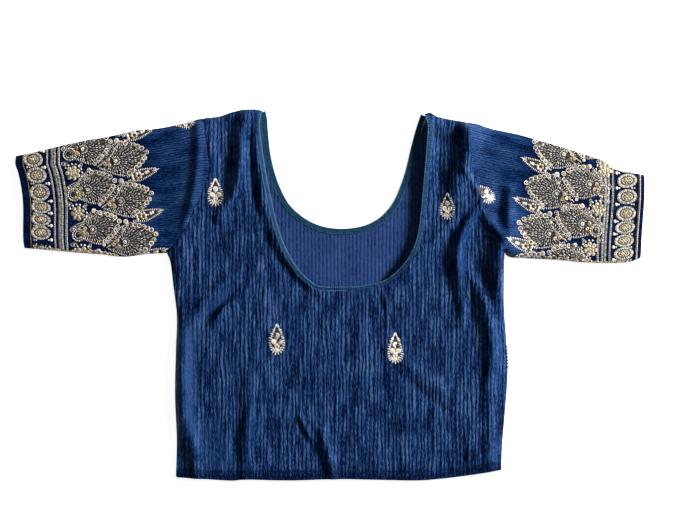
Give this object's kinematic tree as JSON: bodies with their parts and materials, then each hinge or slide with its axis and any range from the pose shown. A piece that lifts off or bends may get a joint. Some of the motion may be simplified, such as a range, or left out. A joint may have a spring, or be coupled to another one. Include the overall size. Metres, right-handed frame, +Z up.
{
  "type": "choli blouse",
  "caption": "Short choli blouse of crinkled stretch cloth with half sleeves and a deep round neck, laid flat with its front up.",
  "frame": {"origin": "middle of the bounding box, at the level of the surface that the blouse lies on", "axes": "+X across the blouse from the sleeve at the picture's left to the one at its right, +Y from the hem to the shoulders, +Z up from the surface, out of the front"},
  "size_m": [0.6899, 0.4074, 0.0169],
  "materials": {
    "crinkled_cloth": "navy blue stretch cloth with a soft satin sheen, crinkled into narrow upright ribs",
    "crinkled_cloth_inside": "wrong side of the same cloth, a little lighter and more violet",
    "neck_binding_cloth": "teal blue binding cloth, matt"
  },
  "bodies": {
    "root": {"front_panel": "crinkled_cloth", "back_panel": "crinkled_cloth_inside", "sleeve_left": "crinkled_cloth", "sleeve_right": "crinkled_cloth", "neck_binding_front": "neck_binding_cloth", "neck_binding_back": "neck_binding_cloth"}
  },
  "joints": []
}
